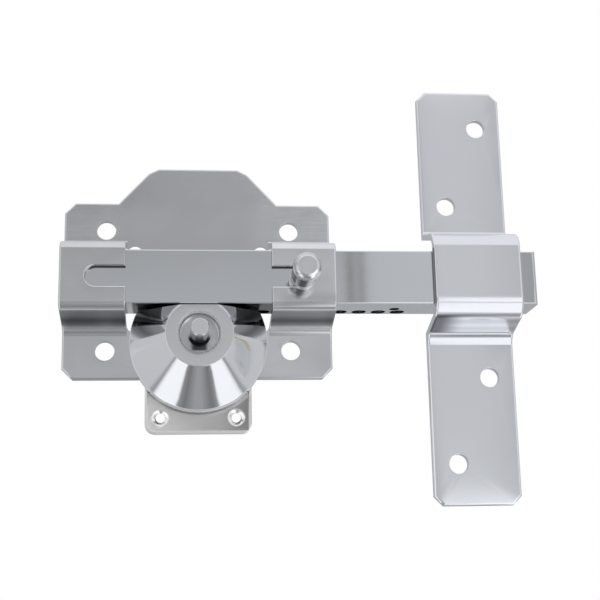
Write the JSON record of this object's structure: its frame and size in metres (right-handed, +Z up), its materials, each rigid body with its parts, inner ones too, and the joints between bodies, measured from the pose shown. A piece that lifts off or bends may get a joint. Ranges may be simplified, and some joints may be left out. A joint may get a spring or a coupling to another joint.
{
  "type": "surface deadbolt",
  "caption": "Face-mounted door lock with a square bolt sliding in two pressed bridges, a finger knob, a push button in a cone, an outside key cylinder and a bridge strike.",
  "frame": {"origin": "middle of the lock plate's four mounting holes, on its back face, which lies on the door", "axes": "+X along the bolt toward the strike, +Y into the door, +Z up; the user stands at -Y"},
  "size_m": [0.1844, 0.0861, 0.171],
  "materials": {
    "brushed_nickel": "nickel-plated pressed steel with a fine brushed grain",
    "polished_nickel": "polished nickel plate",
    "satin_nickel": "satin nickel on a die casting",
    "bare_steel": "zinc-plated steel",
    "brass": "machined brass"
  },
  "bodies": {
    "lock_case": {"lock_plate": "brushed_nickel", "cone_rose": "polished_nickel", "rose_rivets": "bare_steel", "button_bracket": "bare_steel", "button_spring": "bare_steel", "pin_bush": "brass", "back_plate": "satin_nickel", "connecting_screws": "bare_steel", "cylinder_body": "brass", "cylinder_collar": "polished_nickel", "driver_pins": "brass", "tumbler_springs": "bare_steel"},
    "sliding_bolt": {"bolt": "polished_nickel", "bolt_knob": "polished_nickel", "knob_stud": "bare_steel"},
    "key_train": {"drive_wheel": "brass", "wheel_clip": "bare_steel", "tailpiece": "bare_steel", "key_plug": "brass", "key_pins": "brass", "plug_clip": "bare_steel"},
    "button": {"push_button": "polished_nickel", "button_clip": "bare_steel"},
    "locking_pin": {"lock_pin": "bare_steel"},
    "strike_plate": {"strike": "polished_nickel"}
  },
  "joints": [
    {"name": "bolt_slide", "type": "slide", "parent": "lock_case", "child": "sliding_bolt", "axis": [1, 0, 0], "range_m": [-0.0765, 0]},
    {"name": "key_turn", "type": "hinge", "parent": "lock_case", "child": "key_train", "pos_m": [0, 0, -0.022], "axis": [0, 1, 0], "range_deg": [-360, 0]},
    {"name": "button_press", "type": "slide", "parent": "lock_case", "child": "button", "axis": [0, 1, 0], "range_m": [0, 0.0032], "stiffness_N_per_m": 300, "springref_m": -0.004, "deforming": ["button_spring"]},
    {"name": "pin_lift", "type": "slide", "parent": "lock_case", "child": "locking_pin", "axis": [0, 0, 1], "range_m": [0, 0.0024]},
    {"name": "strike_lift_off", "type": "slide", "parent": "lock_case", "child": "strike_plate", "axis": [1, 0, 0], "range_m": [0, 0.05]}
  ],
  "couplings": [
    {"joint": "key_turn", "follows": "bolt_slide", "rad_per_m": 82.133},
    {"joint": "pin_lift", "follows": "button_press", "ratio": 0.75}
  ]
}
